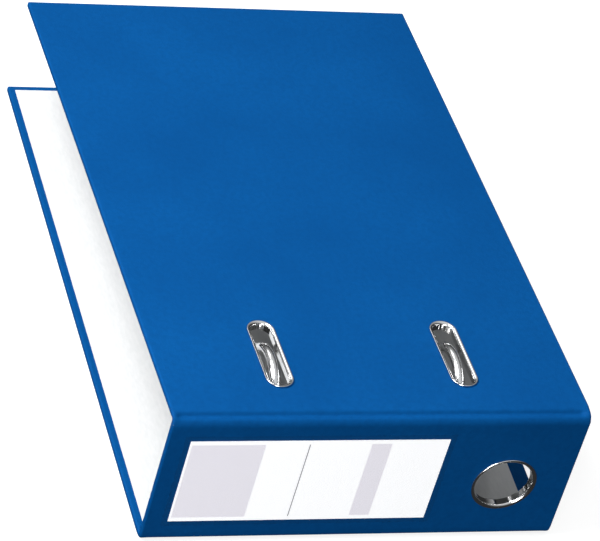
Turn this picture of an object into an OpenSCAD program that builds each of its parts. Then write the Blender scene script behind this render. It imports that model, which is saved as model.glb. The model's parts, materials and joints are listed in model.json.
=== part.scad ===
// Lever arch file for A5 landscape sheets, closed and lying on its back cover.
// +Z is up, X runs along the spine, and the spine faces -Y.
// Inside each module Y is measured from the spine's outer face and Z from the table.

/* [Cover] */
// Length of the covers along the spine
cover_w = 180; // [170:1:200]
// Depth of the covers, from the spine's outer face to the fore edge
cover_d = 285; // [260:1:300]
// Width of the spine, which is the height of the closed file
spine_h = 70; // [70:1:72]
// Slope of the front cover, which rests lower at its fore edge
droop = 3.55; // [3:0.05:4]
// Thickness of the grey board
board_t = 2.2; // [1.8:0.1:2.4]
// Thickness of the blue wrap
wrap_t = 0.3; // [0.2:0.05:0.4]
// Thickness of the white lining
lining_t = 0.3; // [0.2:0.05:0.4]
// Width of the turned-in wrap that shows beside the lining, at the left end and the fore edge
turn_in = 3; // [2:0.5:6]
// Width of the turned-in wrap that shows beside the lining at the right end
turn_in_right = 7.5; // [2:0.5:9]

/* [Hinges] */
// Distance from the spine's outer face to a cover board
hinge_y = 6.4; // [6:0.1:8]
// Distance from a cover's outer face to the spine board
hinge_z = 4; // [3.6:0.1:5]
// Inset of each fold line from both outer faces
fold_in = 1.3; // [1:0.1:2]

/* [Front cover slots] */
// Outside width of a slot's metal rim
slot_w = 12; // [11:0.5:14]
// Outside length of a slot's metal rim
slot_l = 42; // [40:1:46]
// Distance from the spine's outer face to the slots' middle
slot_y = 39.3; // [38:0.1:40]
// Width of the rim's flange
rim_w = 1.6; // [1.2:0.1:2]

/* [Finger ring] */
// Outside radius of the ring
ring_r = 14.2; // [12:0.1:15]
// Distance of the ring from the middle of the spine
ring_x = 61; // [55:0.5:65]
// Height of the ring's middle above the table
ring_z = 31; // [28:0.5:36]
// Width of the ring's flange
ring_lip = 1.9; // [1.5:0.1:2.5]
// How far the ring stands out of the spine
ring_proud = 0.7; // [0.4:0.1:1]

/* [Label] */
// Length of the label
label_w = 110.8; // [90:0.2:112]
// Height of the label
label_h = 45.2; // [40:0.2:48]
// Distance from the spine's left end to the label
label_in = 9.6; // [8:0.2:14]

/* [Mechanism] */
// Spacing of the arches and posts, which is the paper's hole spacing
hole_pitch = 80; // [80]
// Diameter of the arch wire
wire_d = 4; // [3.6:0.1:4.2]
// Radius of the arches, at the middle of the wire
arch_r = 18; // [17:0.5:18]
// Height of the arches' centre above the table
arch_z = 49.3; // [48:0.1:50]
// Distance from the spine's outer face to the arches' shaft
shaft_y = 19; // [18:0.5:20]
// Height of the arches' shaft above the table
shaft_z = 8; // [8:0.1:8.4]
// Reach of the shaft's crank, from its middle to the crank bar's
crank_reach = 12; // [11:0.5:12]
// Diameter of the fixed posts
post_d = 5; // [4.6:0.1:5.2]
// Distance from the lever's pivot to its roller
roller_arm = 9; // [9:0.5:10]
// Diameter of the roller
roller_d = 7; // [6:0.5:7]

/* [Hidden] */
$fn = 48;
shell_t = wrap_t + board_t + lining_t;
lining_w = cover_w - turn_in - turn_in_right;
lining_x = (turn_in - turn_in_right) / 2;  // the lining's middle
y_face = -cover_d / 2 + ring_proud / 2;   // the spine's outer face
wire_r = wire_d / 2;
post_r = post_d / 2;
post_x = hole_pitch / 2;
arch_y = shaft_y + arch_r;
post_y = arch_y + arch_r;
run_gap = 0.06;                            // radial clearance of a running fit
fix_gap = 0.02;                            // radial clearance of a riveted joint

// metal rims of the slots and the finger ring
rim_proud = 0.6;
sleeve_t = 0.5;
washer_t = 0.4;
ring_bore = ring_r - ring_lip;
ring_hole = ring_bore + sleeve_t;

// label and its clear pocket
label_t = 0.2;
film_t = 0.15;
film_margin = 2.6;
label_x = -cover_w / 2 + label_in;
label_z = spine_h / 2 - label_h / 2 - 0.4;

// base plate
plate_t = 1;
plate_w = 120;
plate_y0 = 11;
plate_y1 = 64;
plate_corner = 6;
plate_z = shell_t + plate_t;               // top of the plate
rivet_x = 50;
rivet_ys = [17, 58];
rivet_r = 2.4;
rivet_head_r = 4.6;
rivet_head_t = 0.5;
rivet_cap_t = 0.7;
lug_x = 28;
lug_w = 8;
lug_r = wire_r + 1.4;

// arch wire bends
bend_r = 4;
crank_x = 14;                              // the crank's arms
crank_y = shaft_y + crank_reach;

// posts
post_gap = 0.15;                           // between a post's top and the arch's tip
post_foot_r = 4;
post_foot_t = 0.8;
post_shank_r = 1.5;

// lever, its bracket, pin and roller
pivot_y = crank_y + roller_arm;
pivot_z = 14;
roller_r = roller_d / 2;
roller_z = shaft_z + wire_r + roller_r + 0.1;
roller_w = 7.6;
axle_r = 1.2;
pin_r = 1.5;
lever_w = 12.4;
cheek_t = 1.2;
ear_gap = 0.4;
ear_t = 1.2;
ear_x = lever_w / 2 + ear_gap;
ear_r = 4;
bracket_t = 1;
bracket_w = 30;
bracket_y0 = 35.6;
bracket_y1 = 46;
bracket_rivet_x = 11.6;
bracket_rivet_r = 1.5;
grip_r = 3;
grip_w = 18;
grip_y = 10.5;
grip_z = 25.2;

// compressor bar
bar_z = 5;
bar_t = 1.2;
bar_w = 116;
bar_y0 = 49;
bar_y1 = 61;
bar_lip = 3;
collar_r = post_r + 1.6;
collar_h = 3;

// ---- helpers ----

// Places a part that is drawn from the spine's outer face.
module at_spine() {
    translate([0, y_face, 0]) children();
}

// Turns the front cover down about its fold line.
module at_front() {
    translate([0, fold_in, spine_h - fold_in]) rotate([-droop, 0, 0])
        translate([0, -fold_in, fold_in]) mirror([0, 0, 1]) children();
}

// A box centred in X.
module slab(w, y0, y1, z0, z1) {
    translate([-w / 2, y0, z0]) cube([w, y1 - y0, z1 - z0]);
}

// A slab as wide as the lining, which leaves a wider strip of wrap showing at the right end.
module lined_slab(y0, y1, z0, z1) {
    translate([lining_x, 0, 0]) slab(lining_w, y0, y1, z0, z1);
}

// A flat plate outlined in Y and Z, centred in X.
module side_plate(w, outline) {
    rotate([90, 0, 90]) linear_extrude(w, center = true) polygon(outline);
}

// A rod along X.
module rod_x(r, length, y, z) {
    translate([-length / 2, y, z]) rotate([0, 90, 0]) cylinder(r = r, h = length);
}

// A slot with round ends, long in Y.
module slot_body(w, l, z0, z1) {
    straight = l / 2 - w / 2;
    translate([0, 0, z0]) {
        slab(w, -straight, straight, 0, z1 - z0);
        for (side = [-1, 1]) translate([0, side * straight, 0]) cylinder(d = w, h = z1 - z0);
    }
}

// ---- the three boards, their blue wrap and white lining ----

// Holes that the slot sleeves fill, through a cover that lies outer face down.
module slot_holes() {
    for (x = [-post_x, post_x])
        translate([x, slot_y, 0])
            slot_body(slot_w - 2 * rim_w + 2 * sleeve_t, slot_l - 2 * rim_w + 2 * sleeve_t, -1, shell_t + 1);
}

// Holes for the base plate's rivets, with room for their outer heads.
module rivet_holes() {
    for (x = [-rivet_x, rivet_x], y = rivet_ys) translate([x, y, 0]) {
        translate([0, 0, -1]) cylinder(r = rivet_head_r + fix_gap, h = 1 + rivet_head_t);
        cylinder(r = rivet_r + fix_gap, h = shell_t + 1);
    }
}

module cover_board() {
    slab(cover_w - 2 * wrap_t, hinge_y, cover_d - wrap_t, wrap_t, wrap_t + board_t);
}

module cover_lining() {
    lined_slab(hinge_y, cover_d - turn_in, wrap_t + board_t, shell_t);
}

module cover_wrap() {
    difference() {
        slab(cover_w, hinge_y, cover_d, 0, shell_t);
        slab(cover_w - 2 * wrap_t, hinge_y - 1, cover_d - wrap_t, wrap_t, wrap_t + board_t);
        lined_slab(hinge_y - 1, cover_d - turn_in, board_t, shell_t + 1);
    }
}

module back_board() {
    color("darkgray") at_spine() difference() {
        cover_board();
        rivet_holes();
    }
}

module back_wrap() {
    color("royalblue") at_spine() difference() {
        cover_wrap();
        rivet_holes();
    }
}

module back_lining() {
    color("white") at_spine() difference() {
        cover_lining();
        rivet_holes();
    }
}

module front_board() {
    color("darkgray") at_spine() at_front() difference() {
        cover_board();
        slot_holes();
    }
}

module front_wrap() {
    color("royalblue") at_spine() at_front() difference() {
        cover_wrap();
        slot_holes();
    }
}

module front_lining() {
    color("white") at_spine() at_front() difference() {
        cover_lining();
        slot_holes();
    }
}

module finger_hole() {
    translate([ring_x, -1, ring_z]) rotate([-90, 0, 0]) cylinder(r = ring_hole, h = shell_t + 2);
}

// A panel of the spine between two depths, with the finger hole.
module spine_panel(w, y0, y1) {
    difference() {
        slab(w, y0, y1, hinge_z, spine_h - hinge_z);
        finger_hole();
    }
}

module spine_board() {
    color("darkgray") at_spine() spine_panel(cover_w - 2 * wrap_t, wrap_t, wrap_t + board_t);
}

module spine_lining() {
    color("white") at_spine() difference() {
        lined_slab(wrap_t + board_t, shell_t, hinge_z, spine_h - hinge_z);
        finger_hole();
    }
}

module spine_wrap() {
    color("royalblue") at_spine() difference() {
        spine_panel(cover_w, 0, shell_t);
        slab(cover_w - 2 * wrap_t, wrap_t, wrap_t + board_t, 0, spine_h);
        lined_slab(board_t, shell_t + 1, 0, spine_h);
    }
}

// ---- flexible hinges ----

// Points of a hinge's outer skin, as distance behind the spine and inside the cover,
// with the direction in which its thickness is added.
hinge_line = [
    [0, hinge_z], [0.35, 2.7], [1.4, 1.4], [3, 0.75], [4.8, 1.2], [hinge_y - 0.15, 0.35]
];
hinge_inward = [[1, 0], [0.95, 0.3], [0.6, 0.8], [0, 1], [0, 1], [0, 1]];

module hinge_band(w, t0, t1) {
    last = len(hinge_line) - 1;
    side_plate(w, concat(
        [for (i = [0:last]) hinge_line[i] + t0 * hinge_inward[i]],
        [for (i = [last:-1:0]) hinge_line[i] + t1 * hinge_inward[i]]));
}

module upper_hinge() {
    translate([0, 0, spine_h]) mirror([0, 0, 1]) children();
}

module back_hinge_cloth() {
    color("royalblue") at_spine() hinge_band(cover_w, 0, wrap_t);
}

module hinge_lining() {
    translate([lining_x, 0, 0]) hinge_band(lining_w, wrap_t, wrap_t + lining_t);
}

module back_hinge_lining() {
    color("white") at_spine() hinge_lining();
}

module front_hinge_cloth() {
    color("royalblue") at_spine() upper_hinge() hinge_band(cover_w, 0, wrap_t);
}

module front_hinge_lining() {
    color("white") at_spine() upper_hinge() hinge_lining();
}

// ---- slot rims, finger ring, label ----

// Flange outside the cover and sleeve through it, clinched over the washer.
module slot_rim(x) {
    color("silver") at_spine() at_front() translate([x, slot_y, 0]) difference() {
        union() {
            slot_body(slot_w, slot_l, -rim_proud, 0);
            slot_body(slot_w - 2 * rim_w + 2 * sleeve_t - 2 * fix_gap,
                slot_l - 2 * rim_w + 2 * sleeve_t - 2 * fix_gap, 0, shell_t + washer_t);
        }
        slot_body(slot_w - 2 * rim_w, slot_l - 2 * rim_w, -1, shell_t + 1);
    }
}

module slot_washer(x) {
    color("silver") at_spine() at_front() translate([x, slot_y, 0]) difference() {
        slot_body(slot_w, slot_l, shell_t, shell_t + washer_t);
        slot_body(slot_w - 2 * rim_w + 2 * sleeve_t, slot_l - 2 * rim_w + 2 * sleeve_t, 0, shell_t + 1);
    }
}

module slot_rim_left() { slot_rim(-post_x); }
module slot_rim_right() { slot_rim(post_x); }
module slot_washer_left() { slot_washer(-post_x); }
module slot_washer_right() { slot_washer(post_x); }

module along_ring() {
    at_spine() translate([ring_x, 0, ring_z]) rotate([-90, 0, 0]) children();
}

module finger_ring() {
    color("silver") along_ring() difference() {
        union() {
            translate([0, 0, -ring_proud]) cylinder(r = ring_r, h = ring_proud);
            cylinder(r = ring_hole - fix_gap, h = shell_t + washer_t);
        }
        translate([0, 0, -1]) cylinder(r = ring_bore, h = shell_t + 2);
    }
}

module finger_ring_washer() {
    color("silver") along_ring() translate([0, 0, shell_t]) difference() {
        cylinder(r = ring_r, h = washer_t);
        translate([0, 0, -1]) cylinder(r = ring_hole, h = 2);
    }
}

module label_box(margin, t) {
    translate([label_x - margin, -t, label_z - margin])
        cube([label_w + 2 * margin, t, label_h + 2 * margin]);
}

module spine_label() {
    color("whitesmoke") at_spine() label_box(0, label_t);
}

module label_pocket() {
    color("lightcyan", 0.4) at_spine() difference() {
        label_box(film_margin, label_t + film_t);
        translate([0, 1, 0]) label_box(0, label_t + 1);
    }
}

// ---- base plate and what is riveted to it ----

module base_plate() {
    reach = plate_w / 2 - plate_corner;
    color("lightsteelblue") at_spine() difference() {
        union() {
            slab(plate_w, plate_y0 + plate_corner, plate_y1 - plate_corner, shell_t, plate_z);
            slab(2 * reach, plate_y0, plate_y1, shell_t, plate_z);
            for (x = [-reach, reach], y = [plate_y0 + plate_corner, plate_y1 - plate_corner])
                translate([x, y, shell_t]) cylinder(r = plate_corner, h = plate_t);
            for (x = [-lug_x, lug_x]) translate([x, 0, 0]) {
                slab(lug_w, shaft_y - wire_r, shaft_y + wire_r, shell_t, shaft_z);
                rod_x(lug_r, lug_w, shaft_y, shaft_z);
            }
        }
        for (x = [-lug_x, lug_x])
            translate([x, 0, 0]) rod_x(wire_r + run_gap, lug_w + 2, shaft_y, shaft_z);
        rivet_holes();
        for (x = [-post_x, post_x])
            translate([x, post_y, 0]) cylinder(r = post_shank_r + fix_gap, h = plate_z + 1);
        for (x = [-bracket_rivet_x, bracket_rivet_x])
            translate([x, pivot_y, 0]) cylinder(r = bracket_rivet_r + fix_gap, h = plate_z + 1);
    }
}

module cover_rivets() {
    color("silver") at_spine() for (x = [-rivet_x, rivet_x], y = rivet_ys) translate([x, y, 0]) {
        cylinder(r = rivet_head_r, h = rivet_head_t);
        cylinder(r = rivet_r, h = plate_z);
        translate([0, 0, plate_z]) cylinder(r = rivet_head_r, h = rivet_cap_t);
    }
}

module lever_bracket() {
    color("silver") at_spine() difference() {
        union() {
            slab(bracket_w, bracket_y0, bracket_y1, plate_z, plate_z + bracket_t);
            for (x = [-ear_x - ear_t / 2, ear_x + ear_t / 2]) translate([x, 0, 0]) {
                slab(ear_t, pivot_y - ear_r, pivot_y + ear_r, plate_z, pivot_z);
                rod_x(ear_r, ear_t, pivot_y, pivot_z);
            }
        }
        rod_x(pin_r + fix_gap, bracket_w, pivot_y, pivot_z);
        for (x = [-bracket_rivet_x, bracket_rivet_x])
            translate([x, pivot_y, 0]) cylinder(r = bracket_rivet_r + fix_gap, h = pivot_z);
    }
}

module bracket_rivets() {
    color("gray") at_spine() for (x = [-bracket_rivet_x, bracket_rivet_x])
        translate([x, pivot_y, shell_t]) {
            cylinder(r = bracket_rivet_r, h = plate_t + bracket_t);
            translate([0, 0, plate_t + bracket_t]) cylinder(r = bracket_rivet_r + 1, h = 0.7);
        }
}

module post(x) {
    color("silver") at_spine() translate([x, post_y, 0]) {
        translate([0, 0, shell_t]) cylinder(r = post_shank_r, h = plate_t);
        translate([0, 0, plate_z]) cylinder(r = post_foot_r, h = post_foot_t);
        translate([0, 0, plate_z]) cylinder(r = post_r, h = arch_z - post_gap - plate_z);
    }
}

module post_left() { post(-post_x); }
module post_right() { post(post_x); }

// ---- the arches: one bent wire ----

// A quarter bend in the XY plane, about its own origin, from +X round to +Y.
module wire_bend() {
    rotate_extrude(angle = 90) translate([bend_r, 0]) circle(r = wire_r);
}

// One half: arch, leg, shaft and crank arm, at +X.
module half_arch() {
    translate([post_x, arch_y, arch_z]) rotate([90, 0, 90])
        rotate_extrude(angle = 180) translate([arch_r, 0]) circle(r = wire_r);
    translate([post_x, shaft_y, shaft_z + bend_r]) cylinder(r = wire_r, h = arch_z - shaft_z - bend_r);
    translate([post_x - bend_r, shaft_y, shaft_z + bend_r]) rotate([-90, 0, 0]) wire_bend();
    translate([crank_x + bend_r, shaft_y, shaft_z]) rotate([0, 90, 0])
        cylinder(r = wire_r, h = post_x - crank_x - 2 * bend_r);
    translate([crank_x + bend_r, shaft_y + bend_r, shaft_z]) rotate([0, 0, 180]) wire_bend();
    translate([crank_x, shaft_y + bend_r, shaft_z]) rotate([-90, 0, 0])
        cylinder(r = wire_r, h = crank_reach - 2 * bend_r);
    translate([crank_x - bend_r, crank_y - bend_r, shaft_z]) wire_bend();
}

module arch_wire() {
    color("silver") at_spine() {
        half_arch();
        mirror([1, 0, 0]) half_arch();
        rod_x(wire_r, 2 * (crank_x - bend_r), crank_y, shaft_z);
    }
}

// ---- lever ----

// Outline of the lever's cheeks, from its tail round to the grip, and the web's thickness.
lever_side = [
    [44.5, 11.2], [44.5, 17], [41, 18.6], [31, 19.4], [20, 21.4], [grip_y, 25.2 + cheek_t],
    [grip_y, 25.2], [19, 18.6], [24, 15], [28, 10.8], [34, 10.8], [38, 10], [42, 10]
];
lever_hollow = [
    [46, 9], [46, 15.6], [41, 17.4], [31, 18.2], [20, 20.2], [grip_y, 25.2], [19, 16], [24, 9]
];

module lever() {
    color("gainsboro") at_spine() difference() {
        union() {
            side_plate(lever_w, lever_side);
            rod_x(grip_r, grip_w, grip_y, grip_z);
        }
        side_plate(lever_w - 2 * cheek_t, lever_hollow);
        rod_x(grip_r - cheek_t, grip_w + 2, grip_y, grip_z);
        rod_x(pin_r + run_gap, lever_w + 2, pivot_y, pivot_z);
        rod_x(axle_r + fix_gap, lever_w + 2, crank_y, roller_z);
    }
}

module lever_pin() {
    reach = ear_x + ear_t;
    color("gray") at_spine() {
        rod_x(pin_r, 2 * reach, pivot_y, pivot_z);
        for (side = [-1, 1]) translate([side * (reach + 0.4), 0, 0])
            rod_x(pin_r + 0.8, 0.8, pivot_y, pivot_z);
    }
}

module roller() {
    color("white") at_spine() difference() {
        rod_x(roller_r, roller_w, crank_y, roller_z);
        rod_x(axle_r + run_gap, roller_w + 2, crank_y, roller_z);
    }
}

module roller_axle() {
    color("gray") at_spine() {
        rod_x(axle_r, lever_w, crank_y, roller_z);
        for (side = [-1, 1]) translate([side * (lever_w / 2 + 0.2), 0, 0])
            rod_x(axle_r + 0.5, 0.4, crank_y, roller_z);
    }
}

// ---- compressor bar, which slides on the posts ----

module compressor_bar() {
    color("silver") at_spine() difference() {
        union() {
            slab(bar_w, bar_y0, bar_y1, bar_z, bar_z + bar_t);
            slab(bar_w, bar_y0, bar_y0 + bar_t, bar_z, bar_z + bar_lip);
            slab(bar_w, bar_y1 - bar_t, bar_y1, bar_z, bar_z + bar_lip);
            for (x = [-post_x, post_x])
                translate([x, post_y, bar_z]) cylinder(r = collar_r, h = collar_h);
        }
        for (x = [-post_x, post_x])
            translate([x, post_y, 0]) cylinder(r = post_r + run_gap, h = arch_z);
    }
}

back_board();
back_wrap();
back_lining();
back_hinge_cloth();
back_hinge_lining();
spine_board();
spine_wrap();
spine_lining();
front_hinge_cloth();
front_hinge_lining();
front_board();
front_wrap();
front_lining();
slot_rim_left();
slot_rim_right();
slot_washer_left();
slot_washer_right();
finger_ring();
finger_ring_washer();
spine_label();
label_pocket();
base_plate();
cover_rivets();
lever_bracket();
bracket_rivets();
post_left();
post_right();
arch_wire();
lever();
lever_pin();
roller();
roller_axle();
compressor_bar();
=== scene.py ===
"""Looks of a lever arch file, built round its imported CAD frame.

Everything is in metres in the row frame: +Z up, X along the spine, the spine facing -Y.
Covers are drawn in their own flat space (x, s, d): s runs from the spine's outer face towards
the fore edge, and d is the depth below the cover's outer face.
"""
import json
import math

import bmesh
import bpy
from mathutils import Matrix, Vector, noise


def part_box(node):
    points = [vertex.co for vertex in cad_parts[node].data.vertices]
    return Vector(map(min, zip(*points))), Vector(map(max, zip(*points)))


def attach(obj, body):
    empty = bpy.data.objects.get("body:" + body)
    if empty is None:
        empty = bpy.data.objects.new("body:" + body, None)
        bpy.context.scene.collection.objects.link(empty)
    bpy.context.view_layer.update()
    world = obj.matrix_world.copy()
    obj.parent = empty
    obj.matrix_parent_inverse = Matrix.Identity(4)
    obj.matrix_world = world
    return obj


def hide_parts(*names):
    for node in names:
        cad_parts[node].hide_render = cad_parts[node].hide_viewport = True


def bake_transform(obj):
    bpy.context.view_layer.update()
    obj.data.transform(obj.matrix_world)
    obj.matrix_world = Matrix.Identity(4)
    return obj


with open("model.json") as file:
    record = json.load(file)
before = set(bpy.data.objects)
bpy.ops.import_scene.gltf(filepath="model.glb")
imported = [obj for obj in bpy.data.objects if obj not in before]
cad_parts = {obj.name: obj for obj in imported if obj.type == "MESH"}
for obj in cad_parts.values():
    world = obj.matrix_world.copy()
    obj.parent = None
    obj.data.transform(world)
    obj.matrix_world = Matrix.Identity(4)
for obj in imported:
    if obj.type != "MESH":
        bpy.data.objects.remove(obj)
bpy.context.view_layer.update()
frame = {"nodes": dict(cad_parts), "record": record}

# ---- measures taken from the frame ----

MM = 0.001
JOINTS = {j["name"]: j for j in frame["record"]["behaviour"]["joints"]}
SPINE_LO, SPINE_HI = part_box("spine_wrap")
BACK_LO, BACK_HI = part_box("back_wrap")
Y_FACE = SPINE_LO[1]                        # the spine's outer face
HALF_W = BACK_HI[0]                         # half the file's width along the spine
SHELL_T = BACK_HI[2]                        # thickness of a cover, and of the spine
HINGE_S = BACK_LO[1] - Y_FACE               # where the cover boards begin
DEPTH = BACK_HI[1] - Y_FACE                 # from the spine's outer face to the fore edge
HEIGHT = SPINE_LO[2] + SPINE_HI[2]          # thickness of the closed file at its spine
FOLD = JOINTS["spine_hinge"]["pos_m"][2]    # how far a hinge's axis is inside both outer faces
DROOP = math.radians(JOINTS["front_hinge"]["range_deg"][1] - 90)    # the front cover's slope at rest
LINING_LO, LINING_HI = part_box("back_lining")
WRAP_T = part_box("back_board")[0][2]
LINING_T = LINING_HI[2] - LINING_LO[2]
TURN_IN = HALF_W + LINING_LO[0]             # wrap that shows at the left end and the fore edge
LINED = (LINING_LO[0], LINING_HI[0])        # the lining's ends; more wrap shows at the right

# ---- shapes that only the looks have ----

EDGE_R = 0.9 * MM                           # roundness of the wrapped edges
COVER_CURL = 2.6 * MM                       # how far from its hinge the front cover starts to curve in
COVER_DROP = 0.2 * MM                       # how far it has curved in where its hinge begins
CURVE_STEPS = 6                             # strips that such a curve is cut into
SHARP = math.radians(38)                    # edges turned by more than this stay sharp when shaded


def middle(node):
    """Centre of a CAD node's box."""
    lo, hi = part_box(node)
    return (Vector(lo) + Vector(hi)) / 2


def spread(node):
    """Size of a CAD node's box."""
    lo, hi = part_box(node)
    return Vector(hi) - Vector(lo)


# ---- spaces: back cover, front cover and spine ----

BACK = Matrix.Translation((0, Y_FACE, 0))
UPPER_FOLD = Vector((0, Y_FACE + FOLD, HEIGHT - FOLD))
UPPER = Matrix.Translation((0, Y_FACE, HEIGHT)) @ Matrix.Diagonal((1, 1, -1, 1))
FRONT = (
    Matrix.Translation(UPPER_FOLD) @ Matrix.Rotation(-DROOP, 4, "X")
    @ Matrix.Translation(-UPPER_FOLD) @ UPPER
)
# the spine's space is (x, z, d): d is the depth behind the spine's outer face
SPINE = Matrix(((1, 0, 0, 0), (0, 0, 1, Y_FACE), (0, 1, 0, 0), (0, 0, 0, 1)))


# ---- materials ----

def srgb(*values):
    """A colour given as three screen values from 0 to 255, none of them near black, as linear light."""
    return [*(((c / 255 + 0.055) / 1.055) ** 2.4 for c in values), 1]


class Nodes:
    """Short ways to add nodes to one material."""

    def __init__(self, name, **principled):
        self.material = bpy.data.materials.new(name)
        self.material.use_nodes = True
        self.tree = self.material.node_tree
        self.shader = self.tree.nodes["Principled BSDF"]
        for key, value in principled.items():
            self.shader.inputs[key.replace("_", " ")].default_value = value
        self.place = self.add("ShaderNodeTexCoord").outputs["Object"]

    def add(self, kind, **settings):
        node = self.tree.nodes.new(kind)
        for key, value in settings.items():
            setattr(node, key, value)
        return node

    def link(self, source, target):
        if isinstance(source, (int, float)):
            target.default_value = source
        else:
            self.tree.links.new(source, target)

    def math(self, operation, a, b=0.0, clamp=False):
        node = self.add("ShaderNodeMath", operation=operation, use_clamp=clamp)
        self.link(a, node.inputs[0])
        self.link(b, node.inputs[1])
        return node.outputs[0]

    def axes(self):
        node = self.add("ShaderNodeSeparateXYZ")
        self.link(self.place, node.inputs[0])
        return node.outputs

    def noise(self, size, detail=3.0, rough=0.5, stretch=(1, 1, 1)):
        """Noise whose grains are about `size` metres across."""
        scale = self.add("ShaderNodeVectorMath", operation="MULTIPLY")
        scale.inputs[1].default_value = [k / size for k in stretch]
        self.link(self.place, scale.inputs[0])
        node = self.add("ShaderNodeTexNoise")
        node.inputs["Scale"].default_value = 1.0
        node.inputs["Detail"].default_value = detail
        node.inputs["Roughness"].default_value = rough
        self.link(scale.outputs[0], node.inputs["Vector"])
        return node.outputs["Fac"]

    def remap(self, value, low, high, to_low, to_high):
        node = self.add("ShaderNodeMapRange")
        self.link(value, node.inputs["Value"])
        for key, v in zip(("From Min", "From Max", "To Min", "To Max"), (low, high, to_low, to_high)):
            self.link(v, node.inputs[key])
        return node.outputs["Result"]

    def mix(self, share, a, b):
        """Colour a where share is 0 and colour b where it is 1."""
        node = self.add("ShaderNodeMix", data_type="RGBA")
        self.link(share, node.inputs["Factor"])
        for value, target in ((a, node.inputs["A"]), (b, node.inputs["B"])):
            if isinstance(value, (list, tuple)):
                target.default_value = value
            else:
                self.link(value, target)
        return node.outputs["Result"]

    def colour(self, socket):
        self.link(socket, self.shader.inputs["Base Color"])

    def roughness(self, socket):
        self.link(socket, self.shader.inputs["Roughness"])

    def bump(self, height, distance, strength=1.0):
        node = self.add("ShaderNodeBump")
        node.inputs["Distance"].default_value = distance
        node.inputs["Strength"].default_value = strength
        self.link(height, node.inputs["Height"])
        self.link(node.outputs["Normal"], self.shader.inputs["Normal"])


def cover_blue():
    """Satin foil with a fine leathery grain, slightly uneven in tone."""
    m = Nodes("cover_blue", Specular_IOR_Level=0.025)
    grain = m.noise(0.55 * MM, detail=4)
    cloud = m.noise(60 * MM, detail=2)
    fleck = m.noise(2.2 * MM, detail=3)
    tone = m.mix(m.remap(cloud, 0.3, 0.7, 0, 1), BLUE_DEEP, BLUE_LIGHT)
    m.colour(m.mix(m.remap(fleck, 0.35, 0.75, 0, 0.5), tone, BLUE_FLECK))
    m.roughness(m.remap(grain, 0.3, 0.7, 0.42, 0.6))
    m.bump(m.math("ADD", grain, m.math("MULTIPLY", fleck, 2.0)), 0.09 * MM, 0.7)
    return m.material


def lining_white():
    """Smooth white paper with faint fibres."""
    m = Nodes("lining_white", Specular_IOR_Level=0.2)
    fibre = m.noise(1.2 * MM, detail=5, stretch=(1, 0.35, 1))
    m.colour(m.mix(m.remap(fibre, 0.3, 0.7, 0, 1), [0.59, 0.60, 0.605, 1], [0.64, 0.645, 0.65, 1]))
    m.roughness(m.remap(fibre, 0.3, 0.7, 0.6, 0.75))
    m.bump(fibre, 0.03 * MM, 0.4)
    return m.material


def board_grey():
    """Grey board with darker specks."""
    m = Nodes("board_grey", Specular_IOR_Level=0.15)
    speck = m.noise(0.8 * MM, detail=4)
    m.colour(m.mix(m.remap(speck, 0.35, 0.7, 0, 1), [0.20, 0.19, 0.17, 1], [0.42, 0.40, 0.37, 1]))
    m.roughness(0.9)
    m.bump(speck, 0.08 * MM, 0.5)
    return m.material


def plated(name, tint, rough_low, rough_high, grain, stretch=(1, 1, 1), depth=0.002):
    """Plated metal: a faint grain of that size, and slow changes of tint and roughness from handling."""
    m = Nodes(name, Metallic=1.0)
    wear = m.noise(grain * 25, detail=2)
    line = m.noise(grain, detail=2, stretch=stretch)
    m.colour(m.mix(m.remap(wear, 0.3, 0.7, 0, 0.5), tint, [c * 0.9 for c in tint[:3]] + [1]))
    m.roughness(m.remap(wear, 0.35, 0.65, rough_low, rough_high))
    m.bump(line, depth * MM, 0.3)
    return m.material


def nylon():
    """Off-white moulded nylon."""
    m = Nodes("roller_nylon", Specular_IOR_Level=0.4)
    cloud = m.noise(2.5 * MM)
    m.colour(m.mix(cloud, [0.66, 0.65, 0.60, 1], [0.80, 0.79, 0.75, 1]))
    m.roughness(m.remap(cloud, 0.3, 0.7, 0.35, 0.5))
    m.bump(cloud, 0.03 * MM, 0.3)
    return m.material


def label_paper():
    """White label with pale grey fields and a hairline, placed along the label's length. It also glows
    in its own colours, painted light that makes it brighter than the lamps make it.
    """
    lo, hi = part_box("spine_label")
    m = Nodes("label_paper", Specular_IOR_Level=0.25)
    x, _, z = m.axes()
    along = m.remap(x, lo[0], hi[0], 0, 1)
    up = m.remap(z, lo[2], hi[2], 0, 1)

    def inside(value, low, high, soft):
        return m.math("MULTIPLY", m.remap(value, low - soft, low + soft, 0, 1),
                      m.remap(value, high - soft, high + soft, 1, 0))

    soft = 0.0015
    margin = inside(up, 0.045, 0.955, 0.004)
    field = m.math("MULTIPLY", inside(along, 0.008, 0.290, soft), margin)
    stripe = m.math("MULTIPLY", inside(along, 0.698, 0.777, soft), margin)
    line = m.math("MULTIPLY", inside(along, 0.4565, 0.4605, soft), margin)
    fibre = m.noise(0.9 * MM, detail=4)
    white = m.mix(m.remap(fibre, 0.3, 0.7, 0, 1), [0.88, 0.88, 0.88, 1], [0.92, 0.92, 0.92, 1])
    grey = m.mix(m.math("MAXIMUM", field, stripe), white, LABEL_GREY)
    printed = m.mix(line, grey, LABEL_LINE)
    m.colour(printed)
    # painted light: the label's own colours glow, lifting it brighter than its lighting makes it
    m.link(printed, m.shader.inputs["Emission Color"])
    m.shader.inputs["Emission Strength"].default_value = LABEL_PAINTED_LIGHT
    m.roughness(m.remap(fibre, 0.3, 0.7, 0.5, 0.62))
    m.bump(fibre, 0.02 * MM, 0.3)
    return m.material


def clear_film():
    """Thin clear film: only its gloss and its welded edge show."""
    m = Nodes("clear_film", Specular_IOR_Level=0.5)
    haze = m.noise(14 * MM, detail=2)
    m.colour(m.mix(haze, [0.01, 0.06, 0.16, 1], [0.02, 0.08, 0.20, 1]))
    m.roughness(m.remap(haze, 0.3, 0.7, 0.08, 0.16))
    m.shader.inputs["Alpha"].default_value = 0.06
    m.material.surface_render_method = "BLENDED"
    return m.material


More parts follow.
